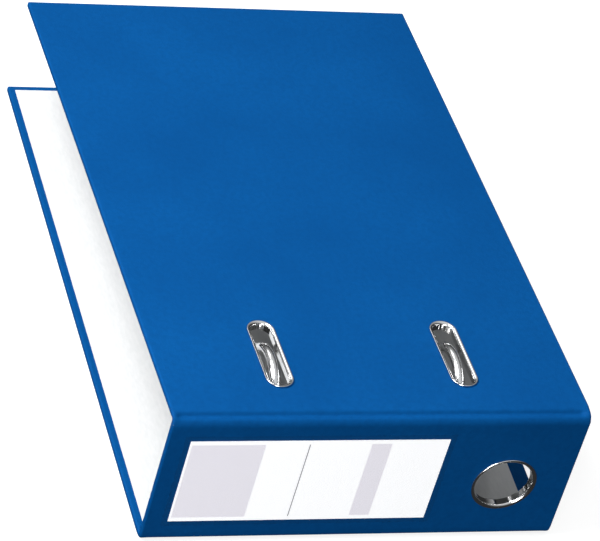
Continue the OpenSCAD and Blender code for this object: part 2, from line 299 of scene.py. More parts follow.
def floor_pale():
    """Plain pale studio floor."""
    m = Nodes("floor_pale", Specular_IOR_Level=0.0)
    m.colour(m.mix(m.noise(0.4), [0.34, 0.34, 0.34, 1], [0.36, 0.36, 0.36, 1]))
    m.roughness(0.9)
    m.shader.inputs["Emission Color"].default_value = (1, 1, 1, 1)
    m.shader.inputs["Emission Strength"].default_value = 0.8
    return m.material


BLUE_DEEP = [0.0012, 0.057, 0.205, 1]
BLUE_LIGHT = [0.0016, 0.067, 0.235, 1]
BLUE_FLECK = [0.0011, 0.048, 0.176, 1]
LABEL_GREY = srgb(216, 213, 219)
LABEL_LINE = srgb(120, 120, 124)
# painted light: how strongly the label glows in its own colours
LABEL_PAINTED_LIGHT = 0.62

MATERIALS = {
    "cover_blue": cover_blue(),
    "lining_white": lining_white(),
    "board_grey": board_grey(),
    "chrome": plated("chrome", [0.82, 0.82, 0.82, 1], 0.08, 0.14, 0.5 * MM),
    "nickel_steel": plated("nickel_steel", [0.56, 0.555, 0.54, 1], 0.22, 0.3, 0.2 * MM, (0.08, 1, 1)),
    "rivet_steel": plated("rivet_steel", [0.5, 0.5, 0.49, 1], 0.2, 0.3, 0.3 * MM),
    "roller_nylon": nylon(),
    "label_paper": label_paper(),
    "clear_film": clear_film(),
}


# ---- mesh helpers ----

def piece(name, bm, slot, space=None, smooth=True):
    """A new object from a bmesh, with its material slot and even normals."""
    if space is not None:
        bm.transform(space)
    bmesh.ops.recalc_face_normals(bm, faces=bm.faces)
    mesh = bpy.data.meshes.new(name)
    bm.to_mesh(mesh)
    bm.free()
    mesh.materials.append(MATERIALS[slot])
    if smooth:
        mesh.shade_smooth()
        mesh.set_sharp_from_angle(angle=SHARP)
    obj = bpy.data.objects.new(name, mesh)
    bpy.context.scene.collection.objects.link(obj)
    if smooth:
        weighted = obj.modifiers.new("even_normals", "WEIGHTED_NORMAL")
        weighted.keep_sharp = True
    return obj


def grid_solid(top, bottom):
    """A closed sheet between two grids of points, as a bmesh."""
    bm = bmesh.new()
    rows, columns = len(top), len(top[0])
    sheets = [[[bm.verts.new(p) for p in row] for row in sheet] for sheet in (top, bottom)]
    for sheet in sheets:
        for i in range(rows - 1):
            for j in range(columns - 1):
                bm.faces.new((sheet[i][j], sheet[i][j + 1], sheet[i + 1][j + 1], sheet[i + 1][j]))
    rim = [(0, j) for j in range(columns)] + [(i, columns - 1) for i in range(1, rows)]
    rim += [(rows - 1, j) for j in range(columns - 2, -1, -1)] + [(i, 0) for i in range(rows - 2, 0, -1)]
    for (i, j), (k, l) in zip(rim, rim[1:] + rim[:1]):
        bm.faces.new((sheets[0][i][j], sheets[0][k][l], sheets[1][k][l], sheets[1][i][j]))
    return bm


def round_box(lo, hi, radius, keep_sharp, segments=4):
    """A box whose edges are rounded, apart from those for which keep_sharp(middle) is true."""
    bm = bmesh.new()
    bmesh.ops.create_cube(bm, size=1)
    size = Vector(hi) - Vector(lo)
    centre = (Vector(hi) + Vector(lo)) / 2
    for v in bm.verts:
        v.co = [v.co[k] * size[k] + centre[k] for k in range(3)]
    edges = [e for e in bm.edges if not keep_sharp((e.verts[0].co + e.verts[1].co) / 2)]
    bmesh.ops.bevel(bm, geom=edges, offset=radius, segments=segments, profile=0.5, affect="EDGES")
    return bm


def box_mesh(lo, hi):
    """A plain box, used only as a cutter."""
    bm = bmesh.new()
    bmesh.ops.create_cube(bm, size=1)
    for v in bm.verts:
        v.co = Vector([(lo[k] + hi[k]) / 2 + v.co[k] * (hi[k] - lo[k]) for k in range(3)])
    return bm


def outline(straight, count):
    """Centres and directions round a slot of that half straight length, or round a circle if it is 0."""
    turns = [math.pi * k / count for k in range(count + 1)]
    ends = [(straight, t) for t in turns] + [(-straight, t + math.pi) for t in turns]
    if straight == 0:
        ends = [e for k, e in enumerate(ends) if k not in (count, 2 * count + 1)]
    return [(Vector((0, y, 0)), Vector((math.cos(t), math.sin(t), 0))) for y, t in ends]


def rim(profile, straight=0.0, count=32):
    """A closed ring: profile is a closed loop of (radius, height) carried round the outline."""
    bm = bmesh.new()
    rings = [
        [bm.verts.new(c + d * r + Vector((0, 0, h))) for r, h in profile]
        for c, d in outline(straight, count)
    ]
    for a, b in zip(rings, rings[1:] + rings[:1]):
        for k in range(len(profile)):
            n = (k + 1) % len(profile)
            bm.faces.new((a[k], b[k], b[n], a[n]))
    return bm


def plug(radius, low, high, straight=0.0, count=32):
    """A closed prism with round ends, used as a cutter."""
    bm = bmesh.new()
    loops = [
        [bm.verts.new(c + d * radius + Vector((0, 0, h))) for c, d in outline(straight, count)]
        for h in (low, high)
    ]
    bm.faces.new(loops[0])
    bm.faces.new(loops[1])
    for k in range(len(loops[0])):
        n = (k + 1) % len(loops[0])
        bm.faces.new((loops[0][k], loops[0][n], loops[1][n], loops[1][k]))
    return bm


def lathe(profile, count=48):
    """A solid of revolution about local Z; profile runs from the axis back to the axis."""
    bm = bmesh.new()
    rings = []
    for r, h in profile:
        if r == 0:
            rings.append([bm.verts.new((0, 0, h))])
        else:
            turns = (2 * math.pi * k / count for k in range(count))
            rings.append([bm.verts.new((r * math.cos(t), r * math.sin(t), h)) for t in turns])
    for a, b in zip(rings, rings[1:]):
        for k in range(count):
            n = (k + 1) % count
            corners = [a[k % len(a)], a[n % len(a)], b[n % len(b)], b[k % len(b)]]
            bm.faces.new(list(dict.fromkeys(corners)))
    return bm


def sweep(path, radius, sides=28, tip=0.5 * MM):
    """A round rod along a path, with slightly rounded ends."""
    bm = bmesh.new()
    path = [Vector(p) for p in path]
    last = len(path) - 1
    tangents = [(path[min(k + 1, last)] - path[max(k - 1, 0)]).normalized() for k in range(last + 1)]
    side = tangents[0].orthogonal().normalized()
    stations = []
    for k, (p, t) in enumerate(zip(path, tangents)):
        if k:
            side = tangents[k - 1].rotation_difference(t) @ side
        stations.append((p, t, (side - t * side.dot(t)).normalized(), radius))
    head, tail = stations[0], stations[-1]
    stations[0] = (head[0] + head[1] * tip, head[1], head[2], radius)
    stations[-1] = (tail[0] - tail[1] * tip, tail[1], tail[2], radius)
    for share in (0.3, 1.0):
        inset, narrowed = tip * (1 - share), radius - tip * share ** 2
        stations.insert(0, (head[0] + head[1] * inset, head[1], head[2], narrowed))
        stations.append((tail[0] - tail[1] * inset, tail[1], tail[2], narrowed))
    rings = []
    for p, t, s, r in stations:
        other = t.cross(s)
        turns = (2 * math.pi * k / sides for k in range(sides))
        rings.append([bm.verts.new(p + (s * math.cos(a) + other * math.sin(a)) * r) for a in turns])
    for a, b in zip(rings, rings[1:]):
        for k in range(sides):
            n = (k + 1) % sides
            bm.faces.new((a[k], a[n], b[n], b[k]))
    bm.faces.new(rings[0])
    bm.faces.new(rings[-1])
    return bm


def cut(bm, cutters):
    """The bmesh less the cutters, joined as one exact boolean."""
    def stored(name, part):
        bmesh.ops.recalc_face_normals(part, faces=part.faces)
        mesh = bpy.data.meshes.new(name)
        part.to_mesh(mesh)
        part.free()
        obj = bpy.data.objects.new(name, mesh)
        bpy.context.scene.collection.objects.link(obj)
        return obj

    body = stored("cut_body", bm)
    tools = [stored("cut_tool", c) for c in cutters]
    for tool in tools:
        step = body.modifiers.new("cut", "BOOLEAN")
        step.operation, step.solver, step.object = "DIFFERENCE", "EXACT", tool
    bpy.context.view_layer.update()
    result = bmesh.new()
    result.from_mesh(body.evaluated_get(bpy.context.evaluated_depsgraph_get()).to_mesh())
    for obj in [body, *tools]:
        bpy.data.objects.remove(obj)
    bmesh.ops.remove_doubles(result, verts=result.verts, dist=1e-7)
    return result


def placed(bm, matrix):
    """The bmesh, moved by the matrix."""
    bm.transform(matrix)
    return bm


def add_part(whole, part):
    """Adds a bmesh to another, as a solid of its own."""
    mesh = bpy.data.meshes.new("part")
    part.to_mesh(mesh)
    part.free()
    whole.from_mesh(mesh)
    bpy.data.meshes.remove(mesh)


def sliced(bm, places):
    """The bmesh with its faces cut across at those places along local Y."""
    for y in places:
        bmesh.ops.bisect_plane(bm, geom=bm.verts[:] + bm.edges[:] + bm.faces[:],
                               plane_co=(0, y, 0), plane_no=(0, 1, 0))
    return bm


def softened(node, slot, width, body, segments=2):
    """A CAD node's own shape with its edges rounded, standing for that node."""
    bm = bmesh.new()
    bm.from_mesh(frame["nodes"][node].data)
    bmesh.ops.remove_doubles(bm, verts=bm.verts, dist=1e-6)
    bmesh.ops.dissolve_limit(bm, angle_limit=math.radians(1), verts=bm.verts, edges=bm.edges)
    edges = [e for e in bm.edges if e.is_manifold and e.calc_face_angle(0) > math.radians(35)]
    bmesh.ops.bevel(bm, geom=edges, offset=width, segments=segments, profile=0.5,
                    affect="EDGES", clamp_overlap=True)
    obj = piece(node + "_finish", bm, slot)
    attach(obj, body)
    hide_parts(node)
    return obj


def arc(centre, u, v, radius, start, stop, count=12):
    """Points of an arc from angle start to stop, measured from u towards v, in degrees."""
    centre, u, v = Vector(centre), Vector(u), Vector(v)
    angles = (math.radians(start + (stop - start) * k / count) for k in range(count + 1))
    return [centre + (u * math.cos(a) + v * math.sin(a)) * radius for a in angles]


# ---- covers: boards, wrap and lining ----

SLOT_X = middle("slot_rim_right")[0]
SLOT_W = spread("slot_rim_right")[0]
SLOT_S = 39.3 * MM                          # the slots' centres, from the spine's outer face
SLOT_L = 42 * MM
RIM_W = 1.6 * MM
SLEEVE_T = 0.5 * MM
WASHER_T = 0.4 * MM
RIM_PROUD = 0.6 * MM
SLOT_BORE = SLOT_W / 2 - RIM_W
SLOT_STRAIGHT = (SLOT_L - SLOT_W) / 2
DISH_DEPTH = 0.24 * MM                      # how far a slot's flange presses the cover in
DISH_REACH = 0.9 * MM                       # how far beyond the flange it still sinks
RIVETS = [(x * MM, s * MM) for x in (-50, 50) for s in (17, 58)]
RIVET_RECESS_R = 4.6 * MM
RIVET_RECESS = 0.5 * MM


def slot_cutters():
    """Plugs for the holes that the slot sleeves fill."""
    radius = SLOT_BORE + SLEEVE_T
    return [
        placed(plug(radius, -MM, SHELL_T + MM, SLOT_STRAIGHT), Matrix.Translation((x, SLOT_S, 0)))
        for x in (-SLOT_X, SLOT_X)
    ]


def slot_dishes():
    """Shallow channels where the slots' flanges press the cover in."""
    edge = SLOT_W / 2
    inner, outer = edge - 0.5 * MM, edge + DISH_REACH
    slope_start = edge + 0.15 * MM
    profile = [(inner, -MM), (inner, DISH_DEPTH), (slope_start, DISH_DEPTH), (outer, 0), (outer, -MM)]
    return [
        placed(rim(profile, SLOT_STRAIGHT), Matrix.Translation((x, SLOT_S, 0)))
        for x in (-SLOT_X, SLOT_X)
    ]


def rivet_cutters():
    """Plugs for the recesses of the rivets' outer heads."""
    return [
        placed(plug(RIVET_RECESS_R, -MM, RIVET_RECESS, count=24), Matrix.Translation((x, s, 0)))
        for x, s in RIVETS
    ]


def cover_wrap(name, space, body, cutters, drop=0.0):
    """The blue wrap: rounded over the board's three free edges, turned in under the lining, and
    curved in by drop beside the hinge."""
    bm = round_box((-HALF_W, HINGE_S, 0), (HALF_W, DEPTH, SHELL_T), EDGE_R,
                   lambda p: p.y < HINGE_S + MM)
    board = box_mesh((-HALF_W + WRAP_T, HINGE_S - MM, WRAP_T),
                     (HALF_W - WRAP_T, DEPTH - WRAP_T, SHELL_T - LINING_T))
    window = box_mesh((LINED[0], HINGE_S - MM, SHELL_T - 2 * LINING_T),
                      (LINED[1], DEPTH - TURN_IN, SHELL_T + MM))
    sliced(bm, [HINGE_S + COVER_CURL * k / CURVE_STEPS for k in range(1, CURVE_STEPS + 1)])
    bm = cut(bm, [board, window, *cutters])
    for v in bm.verts:
        if v.co.z < WRAP_T / 2:
            v.co.z += drop * max(1 - (v.co.y - HINGE_S) / COVER_CURL, 0) ** 2
    obj = piece(name + "_skin", bm, "cover_blue", space)
    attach(obj, body)
    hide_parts(name)


def cover_lining(name, space, body, cutters):
    """The lining sheet, a little wavy where it is glued down."""
    columns, rows = 30, 46
    waves_per_metre, wave_height = 22, 0.03 * MM
    start, stop = HINGE_S, DEPTH - TURN_IN
    top, bottom = [], []
    for i in range(rows + 1):
        s = start + (stop - start) * i / rows
        xs = [LINED[0] + (LINED[1] - LINED[0]) * j / columns for j in range(columns + 1)]
        waves = [Vector((x * waves_per_metre, s * waves_per_metre, 3)) for x in xs]
        wave = [noise.noise(place) * wave_height for place in waves]
        top.append([Vector((x, s, SHELL_T + w)) for x, w in zip(xs, wave)])
        bottom.append([Vector((x, s, SHELL_T - LINING_T)) for x in xs])
    sheet = grid_solid(top, bottom)
    if cutters:
        sheet = cut(sheet, cutters)
    obj = piece(name + "_sheet", sheet, "lining_white", space)
    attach(obj, body)
    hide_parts(name)


cover_wrap("back_wrap", BACK, "back", rivet_cutters())
cover_wrap("front_wrap", FRONT, "front", slot_cutters() + slot_dishes(), COVER_DROP)
cover_lining("back_lining", BACK, "back", [])
cover_lining("front_lining", FRONT, "front", slot_cutters())

# ---- spine ----

RING = middle("finger_ring")
RING_R = spread("finger_ring")[0] / 2
RING_LIP = 1.9 * MM
RING_PROUD = Y_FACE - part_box("finger_ring")[0][1]
RING_BORE = RING_R - RING_LIP
SPINE_CURL = 1.5 * MM                       # how far from a hinge the spine starts to curve in
SPINE_DROP = {"back": 0.1 * MM, "front": 0.26 * MM}     # how far it has curved in at each hinge
AT_RING = Matrix.Translation((RING[0], RING[2], 0))


def finger_cutter():
    """Plug for the hole that the finger ring's sleeve fills."""
    return placed(plug(RING_BORE + SLEEVE_T, -MM, SHELL_T + MM, count=40), AT_RING)


def spine_wrap():
    """The spine's wrap, whose outer face curves away a little towards both hinges."""
    low, high = SPINE_LO[2], SPINE_HI[2]
    bm = round_box((-HALF_W, low, 0), (HALF_W, high, SHELL_T), EDGE_R,
                   lambda p: min(p.y - low, high - p.y) < MM)
    for k in range(1, CURVE_STEPS + 1):
        into = SPINE_CURL * k / CURVE_STEPS
        sliced(bm, [low + into, high - into])
    board = box_mesh((-HALF_W + WRAP_T, low - MM, WRAP_T),
                     (HALF_W - WRAP_T, high + MM, SHELL_T - LINING_T))
    window = box_mesh((LINED[0], low - MM, SHELL_T - 2 * LINING_T), (LINED[1], high + MM, SHELL_T + MM))
    bm = cut(bm, [board, window, finger_cutter()])
    for v in bm.verts:
        if v.co.z < WRAP_T / 2:
            v.co.z += SPINE_DROP["back"] * max(1 - (v.co.y - low) / SPINE_CURL, 0) ** 2
            v.co.z += SPINE_DROP["front"] * max(1 - (high - v.co.y) / SPINE_CURL, 0) ** 2
    obj = piece("spine_wrap_skin", bm, "cover_blue", SPINE)
    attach(obj, "spine")
    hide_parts("spine_wrap")


def spine_lining():
    """The lining sheet inside the spine."""
    sheets = [[[Vector((x, z, d)) for x in LINED] for z in (SPINE_LO[2], SPINE_HI[2])]
              for d in (SHELL_T, SHELL_T - LINING_T)]
    obj = piece("spine_lining_sheet", cut(grid_solid(*sheets), [finger_cutter()]), "lining_white", SPINE)
    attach(obj, "spine")
    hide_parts("spine_lining")


spine_wrap()
spine_lining()

# ---- hinges ----

# Outer skins of the hinges, from the spine board round to the cover board, as (s, d) in millimetres:
# a rounded corner, then the groove pressed beside the cover board. The front hinge is the rounder one.
HINGE_OUTER = {
    "front": [(0.26, 4.0), (0.46, 3.55), (0.78, 3.02), (1.22, 2.5), (1.8, 2.16), (2.5, 2.02), (3.1, 2.1),
              (3.6, 2.02), (4.0, 1.55), (4.4, 0.95), (4.9, 0.55), (5.6, 0.32), (6.4, 0.2)],
    "back": [(0.1, 4.0), (0.18, 3.4), (0.36, 2.65), (0.72, 1.9), (1.25, 1.3), (1.95, 1.0), (2.8, 1.0),
             (3.6, 1.25), (4.35, 1.48), (4.95, 1.3), (5.45, 0.78), (5.9, 0.3), (6.4, 0)],
}
# At its two open ends a hinge is thick with turned-in cloth, and its groove fades out.
HINGE_END = {
    "front": [(0.26, 4.0), (0.48, 3.4), (0.88, 2.6), (1.5, 1.8), (2.4, 1.15), (3.4, 0.75), (4.4, 0.5),
              (5.4, 0.32), (6.4, 0.2)],
    "back": [(0.1, 4.0), (0.2, 3.25), (0.42, 2.4), (0.85, 1.6), (1.55, 0.98), (2.5, 0.56), (3.55, 0.3),
             (4.85, 0.1), (6.4, 0)],
}
GROOVE_FADE = 4.5 * MM                      # how far from an open end the groove starts to fade
# The lining inside them, from the spine's inner face to the cover's inner face.
HINGE_INNER = [(2.8, 4.0), (2.72, 3.5), (2.68, 3.0), (2.9, 2.72), (3.5, 2.74), (4.4, 2.8), (5.4, 2.8),
               (6.4, 2.8)]
HINGE_STEPS = 30                            # steps round a hinge, from the spine to the cover
FOLD_HALF = 0.6 * MM                        # half the width, each way, over which the cloth turns


def smoothstep(t):
    """Eases from 0 to 1 as t goes from 0 to 1."""
    t = min(max(t, 0.0), 1.0)
    return t * t * (3 - 2 * t)


def smooth_line(points, count):
    """Evenly spaced points of a smooth curve through the given ones, whose ends run straight."""
    points = [Vector(p) for p in points]
    points = [points[0] * 2 - points[1], *points, points[-1] * 2 - points[-2]]
    fine = []
    for a, b, c, d in zip(points, points[1:], points[2:], points[3:]):
        for t in (k / 16 for k in range(16)):
            fine.append((b * 2 + (c - a) * t + (a * 2 - b * 5 + c * 4 - d) * t ** 2
                         + (b * 3 - a - c * 3 + d) * t ** 3) / 2)
    fine.append(points[-2])
    lengths = [0.0]
    for a, b in zip(fine, fine[1:]):
        lengths.append(lengths[-1] + (b - a).length)
    line, k = [], 0
    for n in range(count + 1):
        want = lengths[-1] * n / count
        while k < len(fine) - 2 and lengths[k + 1] < want:
            k += 1
        line.append(fine[k].lerp(fine[k + 1], (want - lengths[k]) / (lengths[k + 1] - lengths[k])))
    return line


def moved_in(line, offset):
    """A line moved sideways by offset, towards the inside of the file."""
    moved = []
    for k, p in enumerate(line):
        along = (line[min(k + 1, len(line) - 1)] - line[max(k - 1, 0)]).normalized()
        moved.append(p + Vector((-along.y, along.x)) * offset)
    return moved


def edge_drop(x):
    """How far a rounded edge at the open ends has fallen away at x."""
    past = abs(x) - (HALF_W - EDGE_R)
    return EDGE_R - math.sqrt(max(EDGE_R ** 2 - past ** 2, 0)) if past > 0 else 0.0


def hinge_line(points):
    """Evenly spaced points of a smooth curve through points given in millimetres."""
    return [p * MM for p in smooth_line(points, HINGE_STEPS)]


INNER = hinge_line(HINGE_INNER)


def outer_at(side, x):
    """Outer line of a hinge's cloth at x."""
    fade = smoothstep((abs(x) - (HALF_W - GROOVE_FADE)) / (GROOVE_FADE * 0.8))
    lines = zip(hinge_line(HINGE_OUTER[side]), hinge_line(HINGE_END[side]))
    return [grooved.lerp(plain, fade) for grooved, plain in lines]


def cloth_columns(side):
    """(x, outer line, inner line) across the cloth: turned in and thick at both ends."""
    columns = []
    closer_at_ends = [math.copysign(1 - (1 - abs(k / 20)) ** 1.6, k) for k in range(-20, 21)]
    for share in closer_at_ends:
        x = (LINED[0] + LINED[1]) / 2 + (LINED[1] - LINED[0]) / 2 * share
        outer = outer_at(side, x)
        columns.append((x, outer, moved_in(outer, WRAP_T)))
    for end, away in ((LINED[0], -1), (LINED[1], 1)):
        start = end + away * 0.01 * MM
        for k in range(13):
            x = start + (away * HALF_W - start) * (1 - (1 - k / 12) ** 2)
            drop = edge_drop(x)
            columns.append((x, moved_in(outer_at(side, x), drop), moved_in(INNER, -drop)))
    return sorted(columns, key=lambda column: column[0])


def liner_columns():
    """(x, inner face, outer face) across the lining."""
    return [(x, INNER, moved_in(INNER, -LINING_T)) for x in LINED]


def hinge_band(side, name, slot, columns, replaced):
    """A strip that bends between the spine and a cover, drawn at rest. The front hinge's strip turns
    with the front cover's slope; the back cover has none."""
    place, slope = (UPPER, -DROOP) if side == "front" else (BACK, 0)
    start = Vector((0, FOLD - FOLD_HALF, FOLD + FOLD_HALF))
    end = Vector((0, FOLD + FOLD_HALF, FOLD - FOLD_HALF))
    across = end - start

    def at(x, p):
        past = (Vector((0, *p)) - start).dot(across) / across.length_squared
        turn = Matrix.Rotation(slope * smoothstep(past), 3, "X")
        return UPPER_FOLD + turn @ (place @ Vector((x, *p)) - UPPER_FOLD)

    sheets = [[[at(column[0], column[layer][k]) for column in columns] for k in range(HINGE_STEPS + 1)]
              for layer in (1, 2)]
    obj = piece(name, grid_solid(*sheets), slot)
    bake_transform(obj)
    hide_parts(replaced)


for side in ("back", "front"):
    hinge_band(side, side + "_hinge_skin", "cover_blue", cloth_columns(side), side + "_hinge_cloth")
    hinge_band(side, side + "_hinge_liner", "lining_white", liner_columns(), side + "_hinge_lining")

# ---- slot rims, finger ring and their washers ----

CREST = 0.82                                # how far across its flange an eyelet is highest
ROLL_DEPTH = 0.7 * MM                       # how far down into the bore its flange curls
SLEEVE_CHAMFER = 0.1 * MM


def eyelet_profile(bore, outer, proud, sleeve, length):
    """A rolled flange above 0, which curls down into a sleeve that ends at -length."""
    crest = bore + (outer - bore) * CREST
    rise = ROLL_DEPTH + proud
    quarter = [math.pi / 2 * k / 8 for k in range(9)]
    inner = [(crest - (crest - bore) * math.cos(a), rise * math.sin(a) - ROLL_DEPTH) for a in quarter]
    rim_edge = [(crest + (outer - crest) * math.sin(a), proud * math.cos(a)) for a in quarter[1:]]
    return [(bore, -length + SLEEVE_CHAMFER), *inner, *rim_edge, (bore + sleeve, 0),
            (bore + sleeve, -length), (bore + SLEEVE_CHAMFER, -length)]


def washer_profile(bore, outer, low, thick):
    """A flat ring with rounded edges, its hole at bore."""
    r = thick * 0.45
    return [(bore, low), (bore, low + thick - r), (bore + r, low + thick), (outer - r, low + thick),
            (outer, low + thick - r), (outer, low)]


FLIP = Matrix.Diagonal((1, 1, -1, 1))
for side, x in (("left", -SLOT_X), ("right", SLOT_X)):
    at_slot = FRONT @ Matrix.Translation((x, SLOT_S, 0))
    shell = eyelet_profile(SLOT_BORE, SLOT_W / 2, RIM_PROUD, SLEEVE_T, SHELL_T + WASHER_T)
    slot_rim = piece("slot_eyelet_" + side, rim(shell, SLOT_STRAIGHT), "chrome", at_slot @ FLIP)
    ring = washer_profile(SLOT_BORE + SLEEVE_T, SLOT_W / 2, SHELL_T, WASHER_T)
    slot_washer = piece("slot_clinch_" + side, rim(ring, SLOT_STRAIGHT), "chrome", at_slot)
    for obj, node in ((slot_rim, "slot_rim_"), (slot_washer, "slot_washer_")):
        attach(obj, "front")
        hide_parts(node + side)

shell = eyelet_profile(RING_BORE, RING_R, RING_PROUD, SLEEVE_T, SHELL_T + WASHER_T)
finger_ring = piece("finger_eyelet", rim(shell, count=48), "chrome", SPINE @ AT_RING @ FLIP)
ring = washer_profile(RING_BORE + SLEEVE_T, RING_R, SHELL_T, WASHER_T)
finger_washer = piece("finger_clinch", rim(ring, count=48), "chrome", SPINE @ AT_RING)
for obj, node in ((finger_ring, "finger_ring"), (finger_washer, "finger_ring_washer")):
    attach(obj, "spine")
    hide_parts(node)

# ---- label and its pocket ----

LABEL_LO, LABEL_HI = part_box("spine_label")
POCKET_LO, POCKET_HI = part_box("label_pocket")
LABEL_T = LABEL_HI[1] - LABEL_LO[1]
FILM_T = 0.06 * MM
FILM_GAP = 0.02 * MM                        # keeps the film off what it lies on


def label():
    """The printed card, as a fine grid."""
    columns, rows = 44, 18
    xs = [LABEL_LO[0] + (LABEL_HI[0] - LABEL_LO[0]) * k / columns for k in range(columns + 1)]
    zs = [LABEL_LO[2] + (LABEL_HI[2] - LABEL_LO[2]) * k / rows for k in range(rows + 1)]
    front = [[Vector((x, z, -LABEL_T)) for x in xs] for z in zs]
    back = [[Vector((x, z, 0)) for x in xs] for z in zs]
    obj = piece("spine_label_card", grid_solid(front, back), "label_paper", SPINE)
    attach(obj, "spine")
    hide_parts("spine_label")


def pocket():
    """A film welded down round the label, with a raised weld bead, a little domed over the label."""
    columns, rows = 120, 56
    weld, slope = 0.9 * MM, 1.6 * MM        # where the weld's bead runs, and the film's way up from it
    bead_w, bead_h = 0.35 * MM, 0.12 * MM
    xs = [POCKET_LO[0] + (POCKET_HI[0] - POCKET_LO[0]) * k / columns for k in range(columns + 1)]
    zs = [POCKET_LO[2] + (POCKET_HI[2] - POCKET_LO[2]) * k / rows for k in range(rows + 1)]
    outer, inner = [], []
    for z in zs:
        outer.append([])
        inner.append([])
        for x in xs:
            edge = min(x - POCKET_LO[0], POCKET_HI[0] - x, z - POCKET_LO[2], POCKET_HI[2] - z)
            rise = smoothstep((edge - weld) / slope)
            bead = math.exp(-((edge - weld) / bead_w) ** 2) * bead_h
            under = FILM_GAP + rise * LABEL_T
            outer[-1].append(Vector((x, z, -(under + FILM_T + bead))))
            inner[-1].append(Vector((x, z, -under)))
    obj = piece("label_pocket_film", grid_solid(outer, inner), "clear_film", SPINE)
    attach(obj, "spine")
    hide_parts("label_pocket")


label()
pocket()

# ---- mechanism ----

POST = middle("post_right")
POST_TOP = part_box("post_right")[1][2]
POST_R = 2.5 * MM
WIRE_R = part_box("arch_wire")[1][0] - POST[0]
SHAFT = Vector(JOINTS["arch_swing"]["pos_m"])
CRANK_Y = JOINTS["roller_spin"]["pos_m"][1]
ARCH_R = (POST[1] - SHAFT[1]) / 2
ARCH_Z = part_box("arch_wire")[1][2] - ARCH_R - WIRE_R
BEND_R = 4 * MM
CRANK_X = 14 * MM
PLATE_LO, PLATE_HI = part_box("base_plate")
PLATE_T = 1 * MM
PLATE_TOP = PLATE_LO[2] + PLATE_T
PLATE_CORNER = 6 * MM
RIBS_Y = (Y_FACE + 13.6 * MM, Y_FACE + 50.5 * MM)
RIB_REACH = 38 * MM                         # half a rib's length
RIB_HALF_W = 2.4 * MM
RIB_H = 0.7 * MM
LUG_X = 28 * MM
LUG_HALF_W = 4 * MM
LUG_T = 1.1 * MM
LUG_GAP = 0.06 * MM                         # between a lug and the shaft
LUG_CURL = 262                              # degrees that a lug goes round the shaft


def arch_wire():
    """Both arches and their cranked shaft, bent from one wire."""
    x, y, z = POST[0], SHAFT[1], SHAFT[2]
    ax, ay, az = Vector((1, 0, 0)), Vector((0, 1, 0)), Vector((0, 0, 1))
    half = [Vector((0, CRANK_Y, z))]
    half += arc((CRANK_X - BEND_R, CRANK_Y - BEND_R, z), ay, ax, BEND_R, 0, 90)
    half += arc((CRANK_X + BEND_R, y + BEND_R, z), -ax, -ay, BEND_R, 0, 90)
    half += arc((x - BEND_R, y, z + BEND_R), -az, ax, BEND_R, 0, 90)
    half += arc((x, y + ARCH_R, ARCH_Z), -ay, az, ARCH_R, 0, 180, 48)
    mirrored = [Vector((-p.x, p.y, p.z)) for p in half[:0:-1]]
    obj = piece("arch_wire_rod", sweep(mirrored + half, WIRE_R), "chrome")
    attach(obj, "arches")
    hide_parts("arch_wire")


def posts():
    """Both posts: a spigot through the plate, a foot, a filleted shaft and a dimpled tip."""
    spigot_r, tip_r = 1.5 * MM, 1.4 * MM
    foot_r = spread("post_right")[0] / 2
    low, top, foot = PLATE_TOP, POST_TOP, PLATE_TOP + 0.8 * MM
    profile = [
        (0, low - PLATE_T), (spigot_r, low - PLATE_T), (spigot_r, low), (foot_r, low),
        (foot_r, foot - 0.32 * MM), (foot_r - 0.3 * MM, foot), (POST_R + 0.5 * MM, foot + 0.05 * MM),
        (POST_R + 0.15 * MM, foot + 0.25 * MM), (POST_R, foot + 0.7 * MM), (POST_R, top - 0.5 * MM),
        (POST_R - 0.15 * MM, top - 0.15 * MM), (POST_R - 0.5 * MM, top), (tip_r, top),
        (tip_r - 0.2 * MM, top - 0.3 * MM), (0, top - 0.6 * MM),
    ]
    for side, x in (("left", -POST[0]), ("right", POST[0])):
        obj = piece("post_tube_" + side, lathe(profile), "chrome", Matrix.Translation((x, POST[1], 0)))
        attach(obj, "back")
        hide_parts("post_" + side)


def plate_height(x, y):
    """Height of the base plate's top, with its two pressed ribs."""
    rise = 0.0
    for y_rib in RIBS_Y:
        distance = math.hypot(max(abs(x) - RIB_REACH, 0), y - y_rib)
        rise += RIB_H * smoothstep(1 - distance / RIB_HALF_W)
    return PLATE_TOP + rise


